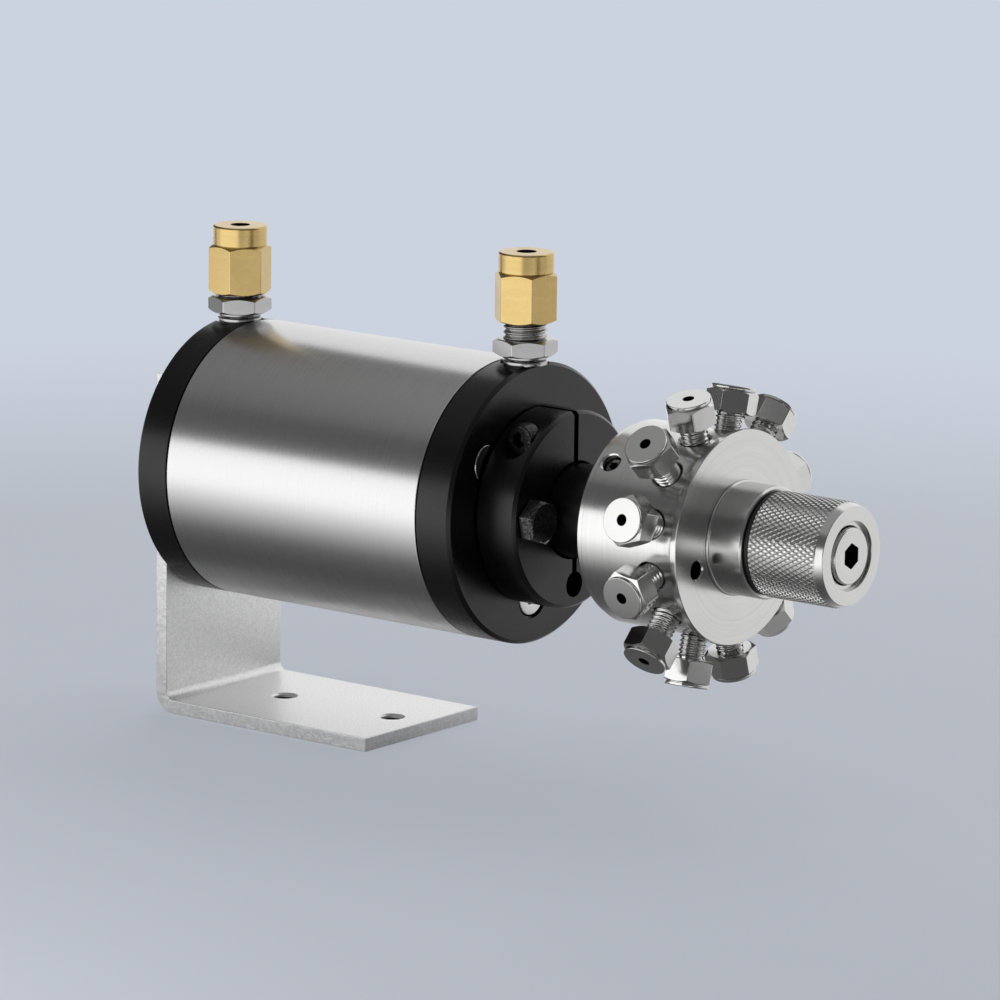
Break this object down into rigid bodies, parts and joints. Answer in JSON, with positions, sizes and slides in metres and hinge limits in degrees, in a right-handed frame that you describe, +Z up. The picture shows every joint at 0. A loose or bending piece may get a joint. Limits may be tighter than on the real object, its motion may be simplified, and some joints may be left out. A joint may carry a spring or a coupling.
{
  "type": "rotary injection valve with air actuator",
  "caption": "Air driven rotary valve: a black capped steel cylinder on an angle bracket, a neck, a round valve body with a ring of tube nuts, and a knurled preload sleeve.",
  "frame": {"origin": "the underside of the bracket's foot, midway between its two screw holes", "axes": "+X along the valve's axis towards the knurled sleeve, +Z up, away from the foot; the valve's axis is 46 mm above the foot"},
  "size_m": [0.1443, 0.0532, 0.0905],
  "materials": {
    "black_anodised_aluminium": "satin black anodised",
    "brushed_stainless": "brushed lengthwise, with a satin sheen",
    "turned_stainless": "turned, with fine rings",
    "polished_stainless": "smooth and bright",
    "nickel_plated_brass": "bright nickel plate over brass",
    "satin_brass": "bare brass with a fine drawn grain",
    "blackened_steel": "dark oxide, a little worn on its edges",
    "grained_aluminium": "pale silver with a fine even grain",
    "plain_aluminium": "turned",
    "bush_bronze": "sintered bronze",
    "black_rubber": "matte",
    "rotor_polymer": "smooth filled polymer",
    "spring_steel": "drawn wire"
  },
  "bodies": {
    "root": {"bracket_screw_1": "blackened_steel", "bracket_screw_2": "blackened_steel", "clamp_bolt_1": "blackened_steel", "clamp_bolt_2": "blackened_steel", "clamp_ring": "black_anodised_aluminium", "clamp_screw": "blackened_steel", "collar_set_screw": "blackened_steel", "cylinder_tube": "brushed_stainless", "front_air_ferrule": "satin_brass", "front_air_fitting": "nickel_plated_brass", "front_air_nut": "satin_brass", "front_air_washer": "nickel_plated_brass", "front_cap": "black_anodised_aluminium", "front_shaft_bush": "bush_bronze", "front_tube_seal": "black_rubber", "mounting_bracket": "grained_aluminium", "port_nut_01": "polished_stainless", "port_nut_02": "polished_stainless", "port_nut_03": "polished_stainless", "port_nut_04": "polished_stainless", "port_nut_05": "polished_stainless", "port_nut_06": "polished_stainless", "port_nut_07": "polished_stainless", "port_nut_08": "polished_stainless", "port_nut_09": "polished_stainless", "port_nut_10": "polished_stainless", "port_nut_11": "polished_stainless", "port_nut_12": "polished_stainless", "preload_housing": "turned_stainless", "preload_spring": "spring_steel", "rear_air_ferrule": "satin_brass", "rear_air_fitting": "nickel_plated_brass", "rear_air_nut": "satin_brass", "rear_air_washer": "nickel_plated_brass", "rear_cap": "black_anodised_aluminium", "rear_shaft_bush": "bush_bronze", "rear_tube_seal": "black_rubber", "shaft_seal": "black_rubber", "thrust_plunger": "turned_stainless", "tie_rod_1": "polished_stainless", "tie_rod_2": "polished_stainless", "tie_rod_3": "polished_stainless", "valve_body": "turned_stainless", "valve_collar": "black_anodised_aluminium"},
    "piston": {"piston": "plain_aluminium", "piston_seal": "black_rubber", "cam_pin_1": "blackened_steel", "cam_pin_2": "blackened_steel"},
    "drive": {"cam_shaft": "turned_stainless", "valve_rotor": "rotor_polymer"},
    "cap_ring": {"sleeve_gap_ring": "black_rubber"},
    "sleeve": {"knurled_sleeve": "turned_stainless"},
    "adjuster": {"preload_adjuster": "turned_stainless"},
    "seat": {"spring_seat": "turned_stainless"}
  },
  "joints": [
    {"name": "piston_slide", "type": "slide", "parent": "root", "child": "piston", "axis": [1, 0, 0], "range_m": [0, 0.015]},
    {"name": "shaft_turn", "type": "hinge", "parent": "root", "child": "drive", "pos_m": [0, 0, 0.046], "axis": [1, 0, 0], "range_deg": [0, 30]},
    {"name": "cap_travel", "type": "slide", "parent": "root", "child": "cap_ring", "axis": [1, 0, 0], "range_m": [0, 0.006]},
    {"name": "cap_turn", "type": "hinge", "parent": "cap_ring", "child": "sleeve", "pos_m": [0.1, 0, 0.046], "axis": [1, 0, 0], "range_deg": [0, 2160]},
    {"name": "adjuster_turn", "type": "hinge", "parent": "sleeve", "child": "adjuster", "pos_m": [0.1, 0, 0.046], "axis": [-1, 0, 0], "range_deg": [0, 720]},
    {"name": "seat_travel", "type": "slide", "parent": "cap_ring", "child": "seat", "axis": [-1, 0, 0], "range_m": [0, 0.0016], "deforming": ["preload_spring"]}
  ],
  "couplings": [
    {"joint": "shaft_turn", "follows": "piston_slide", "rad_per_m": 34.906},
    {"joint": "cap_travel", "follows": "cap_turn", "m_per_rad": 0.00015915},
    {"joint": "seat_travel", "follows": "adjuster_turn", "m_per_rad": 0.00012732}
  ]
}
